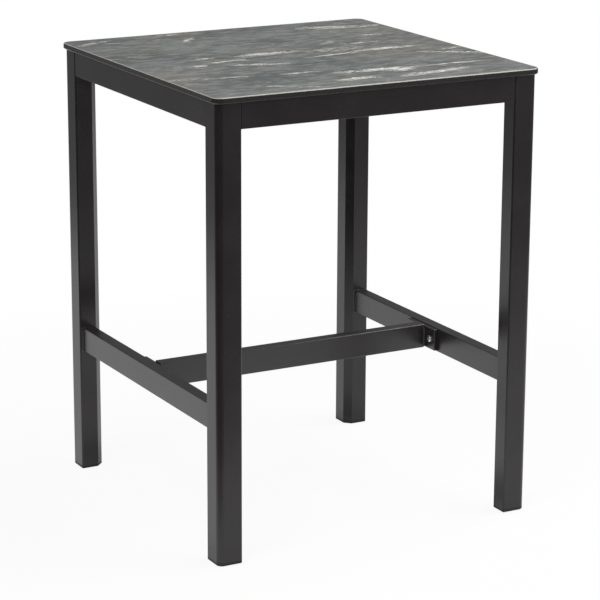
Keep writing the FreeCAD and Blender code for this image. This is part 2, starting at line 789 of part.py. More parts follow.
def corner_places(x_sum, z, turned):
    """Places at the four corners, on the diagonal line of constant x + y from where the aprons meet."""
    places = []
    for x_sign, y_sign, degrees in CORNERS.values():
        x = f"{x_sign} * ({BRACKET_X} - {x_sum} / 2)"
        y = f"{y_sign} * ({BRACKET_Y} - {x_sum} / 2)"
        places.append((x, y, z, turned(degrees)))
    return places


def make_corner_fasteners():
    """The bolts, washers, nuts, screws and inserts at the four corners."""
    rivet_nut = make_rivet_nut()

    def inward(degrees):
        return facing(degrees + DIAGONAL)

    web_face = f"({WEB_SUM} + bracket_thickness * sqrt(2))"
    washer_face = f"({WEB_SUM} + (bracket_thickness + washer_thickness) * sqrt(2))"
    washer = make_ring("washer", "washer_diameter", BOLT_HOLE, "0", "washer_thickness")
    make_group("leg_rivet_nuts", rivet_nut, corner_places(CHAMFER_SUM, BRACKET_MIDDLE, inward))
    make_group("leg_bolt_washers", washer, corner_places(web_face, BRACKET_MIDDLE, inward))
    make_group("leg_bolts", make_hex_bolt(), corner_places(washer_face, BRACKET_MIDDLE, inward))

    wing_places = []
    for x_sign, y_sign, _ in CORNERS.values():
        for rise in (-1, 1):
            z = f"{BRACKET_MIDDLE} + {rise} * bracket_screw_rise"
            screw_x = f"{x_sign} * ({BRACKET_X} - {WING_SCREW})"
            screw_y = f"{y_sign} * ({BRACKET_Y} - {WING_SCREW})"
            face_x = f"{x_sign} * ({BRACKET_X} - bracket_thickness)"
            face_y = f"{y_sign} * ({BRACKET_Y} - bracket_thickness)"
            wing_places.append((screw_x, face_y, z, facing(-y_sign * QUARTER_TURN)))
            wing_places.append((face_x, screw_y, z, facing((1 + x_sign) * QUARTER_TURN)))
    bracket_screw = make_pan_screw(
        "bracket_screw", "bracket_screw_diameter", "bracket_screw_length", "bracket_screw_head_diameter",
        "bracket_screw_head_height", "bracket_screw_socket_width",
    )
    make_group("bracket_screws", bracket_screw, wing_places)

    top_screw = make_pan_screw(
        "top_screw", "top_screw_diameter", "top_screw_length", "top_screw_head_diameter",
        "top_screw_head_height", "top_screw_socket_width",
    )
    head_down = FreeCAD.Rotation(FreeCAD.Vector(1, 0, 0), 2 * QUARTER_TURN)
    tab_sum = f"(2 * {TAB_HOLE})"
    tab_places = corner_places(tab_sum, f"{UNDER_TOP} - bracket_thickness", lambda degrees: head_down)
    make_group("top_screws", top_screw, tab_places)
    top_insert = make_ring(
        "top_insert", "top_insert_diameter", "top_screw_diameter + 2 * thread_clearance", "0",
        "top_insert_length",
    )
    make_group("top_inserts", top_insert, corner_places(tab_sum, UNDER_TOP, lambda degrees: UPRIGHT))
    return rivet_nut


def make_cross_bar_fasteners(rivet_nut):
    """The screws through the cross bar's end plates and the rivet nuts that they turn in."""
    nut_places = []
    screw_places = []
    for x_sign in SIDES.values():
        for y_sign in (-1, 1):
            y = f"{y_sign} * cross_screw_spacing / 2"
            inward = facing((1 + x_sign) * QUARTER_TURN)
            nut_places.append((f"{x_sign} * {STRETCHER_FACE_X}", y, STRETCHER_MIDDLE, inward))
            screw_places.append((f"{x_sign} * {CROSS_PLATE_X}", y, STRETCHER_MIDDLE, inward))
    make_group("stretcher_rivet_nuts", rivet_nut, nut_places)
    make_group("cross_bar_screws", make_button_screw(), screw_places)


def make_cap_bushes():
    """The threaded bushes in the legs' caps."""
    bush = make_ring(
        "cap_bush", "cap_bush_diameter", "foot_stud_diameter + 2 * thread_clearance",
        "-cap_bush_length", "0",
    )
    top = f"{CAP_UNDERSIDE} + cap_rim_height + cap_plug_height"
    places = []
    for x_sign, y_sign, _ in CORNERS.values():
        places.append((f"{x_sign} * {LEG_CENTRE_X}", f"{y_sign} * {LEG_CENTRE_Y}", top, UPRIGHT))
    make_group("cap_thread_bushes", bush, places)


def check_model():
    """Stop if any object failed, or if a sub-part is empty or not valid."""
    doc.recompute()
    for item in doc.Objects:
        if "Invalid" in item.State or "Error" in item.State:
            raise RuntimeError(f"{item.Label} failed: {item.State}")
    for piece in pieces:
        if piece.Shape.isNull() or not piece.Shape.isValid() or not piece.Shape.Solids:
            raise RuntimeError(f"{piece.Label} has no valid solid")


def main():
    """Build every sub-part, test the model and write one file for each node."""
    make_table_top()
    for corner, (x_sign, y_sign, degrees) in CORNERS.items():
        make_leg(corner, x_sign, y_sign, degrees)
        make_leg_cap(corner, x_sign, y_sign, degrees)
        make_levelling_foot(corner, x_sign, y_sign)
        make_corner_bracket(corner, x_sign, y_sign, degrees)
    apron_y = f"({HALF_Y} - apron_setback - apron_thickness / 2)"
    apron_x = f"({HALF_X} - apron_setback - apron_thickness / 2)"
    make_apron("front", LEG_GAP_X, "0", f"-{apron_y}", 0)
    make_apron("back", LEG_GAP_X, "0", apron_y, 2 * QUARTER_TURN)
    make_apron("left", LEG_GAP_Y, f"-{apron_x}", "0", -QUARTER_TURN)
    make_apron("right", LEG_GAP_Y, apron_x, "0", QUARTER_TURN)
    for side, x_sign in SIDES.items():
        make_side_stretcher(side, x_sign)
    make_cross_bar()
    rivet_nut = make_corner_fasteners()
    make_cross_bar_fasteners(rivet_nut)
    make_cap_bushes()
    check_model()
    os.makedirs("parts", exist_ok=True)
    for piece in pieces:
        piece.Shape.exportStep(f"parts/{piece.Label}.step")
        print(piece.Label, len(piece.Shape.Solids), round(piece.Shape.Volume, 1))


main()
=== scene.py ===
import json
import logging
import math
from dataclasses import dataclass
from enum import Enum
from typing import Any, Union

import bpy
from mathutils import Matrix, Vector


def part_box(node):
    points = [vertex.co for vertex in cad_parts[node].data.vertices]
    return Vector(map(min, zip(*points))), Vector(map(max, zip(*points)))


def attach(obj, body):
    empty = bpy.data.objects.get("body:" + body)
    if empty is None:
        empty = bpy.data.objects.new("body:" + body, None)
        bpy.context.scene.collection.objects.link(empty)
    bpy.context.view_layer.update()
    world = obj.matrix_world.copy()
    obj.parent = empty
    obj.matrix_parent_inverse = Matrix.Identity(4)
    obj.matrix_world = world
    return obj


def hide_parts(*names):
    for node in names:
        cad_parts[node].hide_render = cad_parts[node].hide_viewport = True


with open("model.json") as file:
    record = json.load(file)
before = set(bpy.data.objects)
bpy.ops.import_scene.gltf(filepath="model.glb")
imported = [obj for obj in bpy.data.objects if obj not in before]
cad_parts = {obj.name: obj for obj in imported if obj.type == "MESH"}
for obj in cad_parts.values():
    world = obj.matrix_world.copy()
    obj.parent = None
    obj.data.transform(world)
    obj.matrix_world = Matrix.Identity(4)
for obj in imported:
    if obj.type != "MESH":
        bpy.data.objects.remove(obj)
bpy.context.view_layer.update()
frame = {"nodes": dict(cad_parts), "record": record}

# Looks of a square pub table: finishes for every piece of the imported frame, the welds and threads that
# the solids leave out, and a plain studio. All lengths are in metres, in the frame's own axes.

log = logging.getLogger("pub_table")

Triple = tuple[float, float, float]
Band = tuple[float, float]
Value = Union["Signal", float]

# Noise lies between nought and one, about this middle.
NOISE_MIDDLE = 0.5
# Rays that a shader sends out to ease an edge.
BEVEL_SAMPLES = 4
# A Mix node's sockets where it mixes colours, which share their names with its other sockets.
MIX_AMOUNT = 0
MIX_FIRST = 6
MIX_SECOND = 7
MIX_RESULT = 2


class Corner(Enum):
    """The table's corners, named as the frame's nodes are."""

    FRONT_LEFT = "front_left"
    FRONT_RIGHT = "front_right"
    BACK_LEFT = "back_left"
    BACK_RIGHT = "back_right"


class Side(Enum):
    """The table's two sides, named as the frame's nodes are."""

    LEFT = "left"
    RIGHT = "right"


class End(Enum):
    """The ends of a side stretcher."""

    FRONT = "front"
    BACK = "back"


class Slot(Enum):
    """The record's material slots."""

    LAMINATE = "laminate"
    FRAME_COAT = "frame_coat"
    BRACKET_COAT = "bracket_coat"
    ZINC = "zinc_steel"
    BRASS = "brass"
    PLASTIC = "black_plastic"


class Ray(Enum):
    """The kinds of ray that the studio tells apart."""

    CAMERA = "Camera"
    GLOSSY = "Glossy"
    TRANSMISSION = "Transmission"


# Shader expressions


class Signal:
    """A node's output, with arithmetic that adds Math nodes."""

    def __init__(self, paint: "Paint", socket: bpy.types.NodeSocket) -> None:
        """Wrap one output socket of a paint's nodes."""
        self.paint = paint
        self.socket = socket

    def __add__(self, other: Value) -> "Signal":
        """Sum."""
        return self.paint.math("ADD", self, other)

    def __radd__(self, other: Value) -> "Signal":
        """Reflected sum."""
        return self.paint.math("ADD", other, self)

    def __sub__(self, other: Value) -> "Signal":
        """Difference."""
        return self.paint.math("SUBTRACT", self, other)

    def __rsub__(self, other: Value) -> "Signal":
        """Reflected difference."""
        return self.paint.math("SUBTRACT", other, self)

    def __mul__(self, other: Value) -> "Signal":
        """Product."""
        return self.paint.math("MULTIPLY", self, other)

    def __rmul__(self, other: Value) -> "Signal":
        """Reflected product."""
        return self.paint.math("MULTIPLY", other, self)

    def __truediv__(self, other: Value) -> "Signal":
        """Quotient."""
        return self.paint.math("DIVIDE", self, other)

    def __rtruediv__(self, other: Value) -> "Signal":
        """Reflected quotient."""
        return self.paint.math("DIVIDE", other, self)

    def __gt__(self, other: Value) -> "Signal":
        """One where this is the greater, else nought."""
        return self.paint.math("GREATER_THAN", self, other)

    def __lt__(self, other: Value) -> "Signal":
        """One where this is the lesser, else nought."""
        return self.paint.math("LESS_THAN", self, other)

    def clamped(self) -> "Signal":
        """The value kept between nought and one."""
        return self.paint.add("ShaderNodeClamp", {}, {"Value": self})

    def centred(self) -> "Signal":
        """A noise about its middle, so that it adds as much as it takes away."""
        return self - NOISE_MIDDLE

    def risen(self, low: float, high: float) -> "Signal":
        """A smooth step from nought at low to one at high.

        Args:
            low: The value where the step starts.
            high: The value where it ends.

        Returns:
            The step.
        """
        settings = {"interpolation_type": "SMOOTHSTEP"}
        sockets = {"Value": self, "From Min": low, "From Max": high}
        return self.paint.add("ShaderNodeMapRange", settings, sockets)


@dataclass(frozen=True)
class Pattern:
    """A layer of noise: features to the metre, how many finer layers it has, and its grain."""

    scale: float
    detail: float
    stretch: Triple | None = None


@dataclass(frozen=True)
class Shade:
    """How much of a tint a pattern brings, and between which of the pattern's values that rises."""

    amount: float
    low: float
    high: float

    def above(self, pattern: Signal) -> Signal:
        """The tint's share, where the pattern is high."""
        return self.amount * pattern.risen(self.low, self.high)

    def below(self, pattern: Signal) -> Signal:
        """The tint's share, where the pattern is low."""
        return self.amount * (1 - pattern.risen(self.low, self.high))


class Paint:
    """The nodes of a material or a world, added by short calls."""

    def __init__(self, owner: bpy.types.Material | bpy.types.World) -> None:
        """Start with an empty node tree.

        Args:
            owner: The material or world that the nodes belong to.
        """
        self.owner = owner
        self.owner.use_nodes = True
        self.tree = self.owner.node_tree
        self.tree.nodes.clear()

    def node(
        self,
        kind: str,
        settings: dict[str, Any] | None = None,
        sockets: dict[Any, Any] | None = None,
    ) -> bpy.types.Node:
        """Add any node.

        Args:
            kind: The node's type.
            settings: Its properties, set first.
            sockets: Values or signals for its inputs, by name or number.

        Returns:
            The node.
        """
        node = self.tree.nodes.new(kind)
        for name, setting in (settings or {}).items():
            setattr(node, name, setting)
        for key, value in (sockets or {}).items():
            if isinstance(value, Signal):
                self.tree.links.new(value.socket, node.inputs[key])
            else:
                node.inputs[key].default_value = value
        return node

    def add(
        self,
        kind: str,
        settings: dict[str, Any] | None = None,
        sockets: dict[Any, Any] | None = None,
        output: int | str = 0,
    ) -> Signal:
        """Add any node and take one of its outputs, the first if none is named."""
        return Signal(self, self.node(kind, settings, sockets).outputs[output])

    def math(self, operation: str, first: Value, second: Value = 0.0) -> Signal:
        """A Math node on one or two numbers."""
        return self.add("ShaderNodeMath", {"operation": operation}, {0: first, 1: second})

    def vector_math(
        self,
        operation: str,
        first: Signal,
        second: Signal | Triple | None = None,
        output: int | str = 0,
    ) -> Signal:
        """A Vector Math node on one or two vectors."""
        sockets = {0: first} if second is None else {0: first, 1: second}
        return self.add("ShaderNodeVectorMath", {"operation": operation}, sockets, output)

    def dot(self, first: Signal, second: Signal | Triple) -> Signal:
        """How far one vector reaches along another."""
        return self.vector_math("DOT_PRODUCT", first, second, "Value")

    def place(self) -> Signal:
        """Each point's place in the frame."""
        return self.add("ShaderNodeTexCoord", output="Object")

    def axis(self, place: Signal, letter: str) -> Signal:
        """One coordinate of a place."""
        return self.add("ShaderNodeSeparateXYZ", {}, {0: place}, letter)

    def noise(self, place: Signal, pattern: Pattern) -> Signal:
        """Soft noise between nought and one.

        Args:
            place: Where it is read.
            pattern: Its size, detail and grain.

        Returns:
            The noise.
        """
        if pattern.stretch:
            place = self.add("ShaderNodeMapping", {}, {"Vector": place, "Scale": pattern.stretch})
        sockets = {"Vector": place, "Scale": pattern.scale, "Detail": pattern.detail}
        return self.add("ShaderNodeTexNoise", {}, sockets, "Fac")

    def ray(self, kind: Ray) -> Signal:
        """One for rays of a kind, else nought."""
        return self.add("ShaderNodeLightPath", output=f"Is {kind.value} Ray")

    def blend(self, amount: Value, first: Signal | Triple, second: Signal | Triple) -> Signal:
        """Mix two colours.

        Args:
            amount: How much of the second.
            first: A colour or a signal.
            second: A colour or a signal.

        Returns:
            The mixed colour.
        """
        ends = [end if isinstance(end, Signal) else (*end, 1.0) for end in (first, second)]
        sockets = {MIX_AMOUNT: amount, MIX_FIRST: ends[0], MIX_SECOND: ends[1]}
        return self.add("ShaderNodeMix", {"data_type": "RGBA"}, sockets, MIX_RESULT)

    def eased(self, radius: float) -> Signal:
        """The normal with hard edges eased to a radius."""
        return self.add("ShaderNodeBevel", {"samples": BEVEL_SAMPLES}, {"Radius": radius})

    def edges(self, eased: Signal) -> Signal:
        """How far an eased normal leans from the face's own: nought on flats, rising at edges."""
        flat = self.add("ShaderNodeNewGeometry", output="Normal")
        return 1 - self.dot(eased, flat)

    def relief(
        self,
        height: Signal,
        depth: float,
        strength: float,
        normal: Signal | None = None,
    ) -> Signal:
        """A bumped normal.

        Args:
            height: The relief's height from nought to one.
            depth: Its real depth.
            strength: How much of it shows.
            normal: The normal that it bumps, if not the face's own.

        Returns:
            The normal.
        """
        sockets: dict[Any, Any] = {"Height": height, "Distance": depth, "Strength": strength}
        if normal:
            sockets["Normal"] = normal
        return self.add("ShaderNodeBump", {}, sockets)

    def surface(self, **sockets: Any) -> bpy.types.Material:
        """Close the material with one surface shader.

        Args:
            sockets: The shader's inputs, with underscores for spaces.

        Returns:
            The finished material.
        """
        named = {name.replace("_", " "): value for name, value in sockets.items()}
        self.close(self.add("ShaderNodeBsdfPrincipled", {}, named))
        return self.owner

    def close(self, shader: Signal) -> None:
        """Send a shader to the material's or the world's output."""
        kind = "World" if isinstance(self.owner, bpy.types.World) else "Material"
        self.node(f"ShaderNodeOutput{kind}", {}, {"Surface": shader})


# Finishes


@dataclass(frozen=True)
class PowderCoat:
    """Sprayed and baked coat: nearly black, satin, with a fine orange peel, its edges lightened by a
    painted highlight.
    """

    colour: Triple = (0.0138, 0.0109, 0.0120)
    dusty: Triple = (0.0196, 0.0161, 0.0174)
    patches: Pattern = Pattern(9.0, 4.0)
    dust_band: Band = (0.4, 0.75)
    roughness: float = 0.25
    unevenness: float = 0.10
    ior: float = 1.5
    peel_scale: float = 900.0
    peel_detail: float = 1.0
    peel_depth: float = 0.00012
    peel_strength: float = 0.3
    speck_fineness: float = 3.0
    speck_detail: float = 0.0
    speck_gloss: float = 0.5
    speck_height: float = 0.3
    eased: float = 0.0009
    # Painted highlight along the edges: its pale colour, how strongly it shows, where it rises and how it
    # varies in patches
    highlight_colour: Triple = (0.120, 0.112, 0.107)
    highlight_amount: float = 0.15
    highlight_band: Band = (0.02, 0.15)
    highlight_least: float = 0.4
    highlight_spread: float = 1.2

    def paint(self, name: str) -> bpy.types.Material:
        """Make the coat.

        Args:
            name: The material's name.

        Returns:
            The material.
        """
        paint = Paint(bpy.data.materials.new(name))
        place = paint.place()
        patches = paint.noise(place, self.patches)
        peel = paint.noise(place, Pattern(self.peel_scale, self.peel_detail))
        speck = paint.noise(place, Pattern(self.peel_scale * self.speck_fineness, self.speck_detail))
        eased = paint.eased(self.eased)
        # Painted highlight: the base colour turns lighter where the eased normal leans, along the edges
        on_edge = paint.edges(eased).risen(*self.highlight_band)
        painted_highlight = self.highlight_amount * on_edge * (self.highlight_least + self.highlight_spread * patches)
        coat = paint.blend(patches.risen(*self.dust_band), self.colour, self.dusty)
        middle = NOISE_MIDDLE * (1 + self.speck_gloss)
        uneven = patches + self.speck_gloss * speck - middle
        relief = peel + self.speck_height * speck
        return paint.surface(
            Base_Color=paint.blend(painted_highlight.clamped(), coat, self.highlight_colour),
            Roughness=self.roughness + self.unevenness * uneven,
            Normal=paint.relief(relief, self.peel_depth, self.peel_strength, eased),
            IOR=self.ior,
        )


@dataclass(frozen=True)
class MouldedPlastic:
    """Black moulded plastic with a fine eroded grain and scuffs."""

    colour: Triple = (0.012, 0.012, 0.012)
    scuffed: Triple = (0.040, 0.038, 0.036)
    roughness: float = 0.48
    ior: float = 1.40
    grain: Pattern = Pattern(2200.0, 2.0)
    grain_depth: float = 0.00008
    grain_strength: float = 0.3
    grain_gloss: float = 0.12
    scuffs: Pattern = Pattern(4.0, 3.0, (60.0, 260.0, 260.0))
    scuff_band: Band = (0.62, 0.8)
    scuff_share: float = 0.5
    scuff_gloss: float = 0.08

    def paint(self, name: str) -> bpy.types.Material:
        """Make the plastic.

        Args:
            name: The material's name.

        Returns:
            The material.
        """
        paint = Paint(bpy.data.materials.new(name))
        place = paint.place()
        grain = paint.noise(place, self.grain)
        scuffs = paint.noise(place, self.scuffs).risen(*self.scuff_band)
        roughness = self.roughness + self.grain_gloss * grain.centred()
        return paint.surface(
            Base_Color=paint.blend(self.scuff_share * scuffs, self.colour, self.scuffed),
            Roughness=roughness - self.scuff_gloss * scuffs,
            Normal=paint.relief(grain, self.grain_depth, self.grain_strength),
            IOR=self.ior,
        )


@dataclass(frozen=True)
class TurnedMetal:
    """Bare or plated metal with a faint cloud of tint and fine tool marks."""

    colour: Triple
    tint: Triple
    roughness: float
    cloud: Pattern = Pattern(240.0, 3.0)
    cloud_band: Band = (0.35, 0.7)
    cloud_gloss: float = 0.18
    marks: Pattern = Pattern(1600.0, 2.0, (1.0, 1.0, 6.0))
    mark_depth: float = 0.00003
    mark_strength: float = 0.3
    mark_gloss: float = 0.1

    def paint(self, name: str) -> bpy.types.Material:
        """Make the metal.

        Args:
            name: The material's name.

        Returns:
            The material.
        """
        paint = Paint(bpy.data.materials.new(name))
        place = paint.place()
        cloud = paint.noise(place, self.cloud)
        marks = paint.noise(place, self.marks)
        roughness = self.roughness + self.cloud_gloss * cloud.centred()
        return paint.surface(
            Base_Color=paint.blend(cloud.risen(*self.cloud_band), self.colour, self.tint),
            Metallic=1.0,
            Roughness=roughness + self.mark_gloss * marks.centred(),
            Normal=paint.relief(marks, self.mark_depth, self.mark_strength),
        )


@dataclass(frozen=True)
class Vein:
    """One pale vein of the stone pattern: its middle, length, half width, fall along x and strength."""

    x: float
    y: float
    length: float
    width: float
    fall: float
    strength: float


@dataclass(frozen=True)
class StoneLaminate:
    """Compact laminate: a dark stone pattern with broken pale veins over a black core."""

    # The sheet: its heights, its eased edge and the skin that shows the pattern
    top: float
    bottom: float
    bevel: float = 0.002
    bevel_share: float = 0.8
    skin: float = 0.0001
    edge_ease: float = 0.0006

    # Colours
    grey: Triple = (0.164, 0.176, 0.173)
    dark: Triple = (0.065, 0.073, 0.073)
    pale: Triple = (0.257, 0.260, 0.249)
    brown: Triple = (0.202, 0.184, 0.160)
    cream: Triple = (0.44, 0.42, 0.38)
    white: Triple = (0.82, 0.80, 0.74)
    core: Triple = (0.0195, 0.0170, 0.0166)
    # Painted highlight laid on the upper bevel, over the black core of the edge
    bevel_highlight: Triple = (0.39, 0.374, 0.345)

    # Gloss and relief
    roughness: float = 0.44
    edge_roughness: float = 0.27
    mottle_gloss: float = 0.12
    grain_gloss: float = 0.08
    relief_depth: float = 0.00006
    relief_strength: float = 0.2
    ripple_height: float = 0.5

    # Layers of noise, most of them drawn out along the table's width
    clouds: Pattern = Pattern(4.5, 5.0, (1.0, 1.7, 1.0))
    earth: Pattern = Pattern(3.2, 5.0, (0.8, 1.2, 1.0))
    mottle: Pattern = Pattern(44.0, 8.0, (0.7, 1.9, 1.0))
    streaks: Pattern = Pattern(22.0, 8.0, (1.0, 5.0, 1.0))
    fibres: Pattern = Pattern(100.0, 6.0, (0.65, 2.2, 1.0))
    grit: Pattern = Pattern(260.0, 4.0)
    grain: Pattern = Pattern(900.0, 2.0)
    cracks: Pattern = Pattern(7.0, 7.0, (1.0, 2.6, 1.0))
    ripple: Pattern = Pattern(420.0, 2.0, (1.0, 1.0, 5.0))

    # How the layers tint the stone
    cloud_dark: Shade = Shade(0.75, 0.34, 0.64)
    earth_brown: Shade = Shade(0.6, 0.46, 0.62)
    mottle_pale: Shade = Shade(0.6, 0.48, 0.66)
    mottle_dark: Shade = Shade(0.5, 0.34, 0.52)
    streak_pale: Shade = Shade(0.35, 0.55, 0.68)
    grit_dark: Shade = Shade(0.35, 0.36, 0.50)
    grain_dark: Shade = Shade(0.25, 0.30, 0.50)
    back_band: Band = (0.3, 0.7)
    hair_width: float = 0.02
    hair_band: Band = (0.48, 0.58)
    hair_share: float = 0.45

    # Veins: how they waver, tear and fray, and where they turn cream and white
    vein_waver: Pattern = Pattern(14.0, 2.0, (1.0, 2.5, 1.0))
    vein_tear: Pattern = Pattern(75.0, 5.0, (0.8, 1.8, 1.0))
    vein_fray: Pattern = Pattern(38.0, 3.0, (1.0, 4.0, 1.0))
    wander: float = 0.018
    tear: float = 0.016
    fray: float = 0.05
    torn_fibres: float = 0.55
    torn_streaks: float = 0.2
    torn_grit: float = 0.25
    torn_band: Band = (0.43, 0.57)
    vein_least: float = 0.25
    vein_spread: float = 1.2
    cream_band: Band = (0.11, 0.52)
    white_band: Band = (0.50, 1.05)
    veins: tuple[Vein, ...] = (
        Vein(-0.300, 0.300, 0.12, 0.012, 0.40, 0.55),
        Vein(-0.265, 0.280, 0.06, 0.008, 0.05, 0.35),
        Vein(-0.110, 0.332, 0.09, 0.012, 0.10, 0.45),
        Vein(-0.165, 0.280, 0.04, 0.008, 0.60, 0.35),
        Vein(-0.107, 0.253, 0.05, 0.012, 0.90, 1.10),
        Vein(0.230, 0.268, 0.20, 0.024, -0.22, 0.65),
        Vein(0.320, 0.250, 0.08, 0.012, 0.10, 0.45),
        Vein(0.262, 0.147, 0.08, 0.012, -0.20, 0.60),
        Vein(0.133, 0.102, 0.06, 0.010, 0.70, 0.60),
        Vein(0.187, 0.067, 0.13, 0.009, 0.02, 0.55),
        Vein(-0.045, 0.034, 0.16, 0.018, 0.06, 0.80),
        Vein(-0.185, 0.034, 0.06, 0.013, 0.10, 0.60),
        Vein(-0.160, -0.012, 0.12, 0.009, 0.04, 0.75),
        Vein(-0.226, -0.035, 0.06, 0.012, -0.10, 0.75),
        Vein(-0.105, -0.070, 0.16, 0.009, -0.27, 0.75),
        Vein(0.100, 0.020, 0.18, 0.026, 0.05, 0.40),
        Vein(0.070, -0.034, 0.16, 0.008, 0.11, 0.80),
        Vein(0.205, -0.015, 0.18, 0.013, 0.02, 0.90),
        Vein(0.295, -0.113, 0.15, 0.012, -0.55, 0.70),
        Vein(0.320, -0.068, 0.08, 0.009, 0.08, 0.70),
        Vein(-0.315, -0.155, 0.10, 0.008, -0.05, 0.60),
        Vein(-0.235, -0.170, 0.14, 0.008, -0.10, 0.55),
        Vein(-0.090, -0.186, 0.13, 0.010, 0.05, 0.60),
        Vein(0.055, -0.222, 0.22, 0.017, -0.03, 0.95),
        Vein(0.105, -0.240, 0.07, 0.018, 0.20, 0.70),
        Vein(0.225, -0.223, 0.16, 0.008, 0.00, 0.75),
        Vein(-0.020, -0.288, 0.11, 0.013, 0.02, 1.00),
        Vein(0.150, -0.290, 0.20, 0.016, 0.14, 0.90),
        Vein(-0.170, -0.302, 0.15, 0.013, -0.60, 0.45),
    )

    def vein_mask(self, paint: Paint, place: Signal) -> Signal:
        """Add up the veins, with wavering middles and torn edges.

        Args:
            paint: The material.
            place: Each point's place.

        Returns:
            How much vein shows: nought off the veins, and the veins' strengths on their middles.
        """
        waver = paint.noise(place, self.vein_waver)
        torn = paint.noise(place, self.vein_tear)
        frayed = paint.noise(place, self.vein_fray)
        x = paint.axis(place, "X") + self.fray * frayed.centred()
        y = paint.axis(place, "Y") + self.wander * waver.centred() + self.tear * torn.centred()
        total: Value = 0.0
        for vein in self.veins:
            along = x - vein.x
            across = y - vein.y - along * vein.fall
            ends = along / (vein.length / 2)
            sides = across / vein.width
            body = (1 - ends * ends).clamped() * (1 - sides * sides).clamped()
            total = total + body * vein.strength
        return total

    def paint(self, name: str) -> bpy.types.Material:
        """Make the laminate.

        Args:
            name: The material's name.

        Returns:
            The material.
        """
        paint = Paint(bpy.data.materials.new(name))
        place = paint.place()
        height = paint.axis(place, "Z")
        clouds = paint.noise(place, self.clouds)
        earth = paint.noise(place, self.earth)
        mottle = paint.noise(place, self.mottle)
        streaks = paint.noise(place, self.streaks)
        fibres = paint.noise(place, self.fibres)
        grit = paint.noise(place, self.grit)
        grain = paint.noise(place, self.grain)
        crack = paint.math("ABSOLUTE", paint.noise(place, self.cracks).centred())
        hair = (1 - crack.risen(0.0, self.hair_width)) * streaks.risen(*self.hair_band)
        torn = self.torn_fibres * fibres + self.torn_streaks * streaks + self.torn_grit * grit
        shown = self.vein_least + self.vein_spread * torn.risen(*self.torn_band)
        veins = self.vein_mask(paint, place) * shown

        stone = paint.blend(self.cloud_dark.below(clouds), self.grey, self.dark)
        stone = paint.blend(self.earth_brown.above(earth), stone, self.brown)
        stone = paint.blend(self.mottle_pale.above(mottle), stone, self.pale)
        stone = paint.blend(self.mottle_dark.below(mottle), stone, self.dark)
        stone = paint.blend(self.streak_pale.above(streaks), stone, self.pale)
        stone = paint.blend(self.hair_share * hair, stone, self.cream)
        stone = paint.blend(self.grit_dark.below(grit), stone, self.dark)
        stone = paint.blend(veins.risen(*self.cream_band), stone, self.cream)
        stone = paint.blend(veins.risen(*self.white_band), stone, self.white)
        stone = paint.blend(self.grain_dark.below(grain), stone, self.dark)

        on_face = height > self.top - self.skin
        on_bevel = height > self.top - self.bevel_share * self.bevel
        on_back = height < self.bottom + self.skin
        # The upper bevel is painted pale as a highlight; below it the edge shows the black core
        edge = paint.blend(on_bevel, self.core, self.bevel_highlight)
        sheet = paint.blend(grain.risen(*self.back_band), self.core, self.dark)
        edge = paint.blend(on_back, edge, sheet)
        gloss = self.edge_roughness + (self.roughness - self.edge_roughness) * on_bevel
        relief = grain + self.ripple_height * paint.noise(place, self.ripple)
        eased = paint.eased(self.edge_ease)
        return paint.surface(
            Base_Color=paint.blend(on_face, edge, stone),
            Roughness=gloss + self.mottle_gloss * mottle.centred() + self.grain_gloss * grain.centred(),
            Normal=paint.relief(relief, self.relief_depth, self.relief_strength, eased),
        )


ZINC = TurnedMetal(colour=(0.66, 0.69, 0.72), tint=(0.74, 0.73, 0.68), roughness=0.32)
BRASS = TurnedMetal(colour=(0.72, 0.53, 0.22), tint=(0.60, 0.42, 0.17), roughness=0.34)
BRACKET_COAT = PowderCoat(roughness=0.46, peel_scale=600.0)
# The foot rest's coat has a strong painted highlight along its edges
FOOT_REST_COAT = PowderCoat(
    roughness=0.31, peel_scale=620.0, peel_depth=0.0002, eased=0.0022, highlight_amount=0.9, ior=1.66,
)
# The coated nodes of the foot rest start with these words.
FOOT_REST_NODES = ("side_stretcher", "stretcher_end_plate", "cross_bar")


class Finishes:
    """The table's materials, one for each slot, and the foot rest's own coat."""

    def __init__(self) -> None:
        """Paint every finish once."""
        low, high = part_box("table_top")
        self.materials = {
            Slot.LAMINATE: StoneLaminate(top=high.z, bottom=low.z).paint("stone_laminate"),
            Slot.FRAME_COAT: PowderCoat().paint("frame_powder_coat"),
            Slot.BRACKET_COAT: BRACKET_COAT.paint("bracket_coat"),
            Slot.ZINC: ZINC.paint("zinc_plate"),
            Slot.BRASS: BRASS.paint("turned_brass"),
            Slot.PLASTIC: MouldedPlastic().paint("moulded_plastic"),
        }
        self.foot_rest_coat = FOOT_REST_COAT.paint("foot_rest_powder_coat")

    def dress_nodes(self) -> None:
        """Give each node of the frame the finish of its slot."""
        for part in frame["record"]["subparts"]:
            node = part["node"]
            slot = Slot(part["material_slot"])
            material = self.materials[slot]
            if slot is Slot.FRAME_COAT and node.startswith(FOOT_REST_NODES):
                material = self.foot_rest_coat
            self.apply(frame["nodes"][node], material)
            log.info("%s dressed in %s", node, material.name)

    def apply(self, piece: bpy.types.Object, material: bpy.types.Material) -> None:
        """Make one finish the only material of a piece."""
        piece.data.materials.clear()
        piece.data.materials.append(material)


# Modelling steps


def deselect() -> None:
    """Leave object mode with nothing selected."""
    if bpy.context.object and bpy.context.object.mode != "OBJECT":
        bpy.ops.object.mode_set(mode="OBJECT")
    bpy.ops.object.select_all(action="DESELECT")


def select_only(*pieces: bpy.types.Object) -> None:
    """Select some pieces, the last of them active.

    Args:
        pieces: The pieces to select.
    """
    deselect()
    for piece in pieces:
        piece.select_set(True)
        bpy.context.view_layer.objects.active = piece


def settle(piece: bpy.types.Object) -> None:
    """Put a piece's place, turn and scale into its mesh."""
    select_only(piece)
    bpy.ops.object.transform_apply(location=True, rotation=True, scale=True)


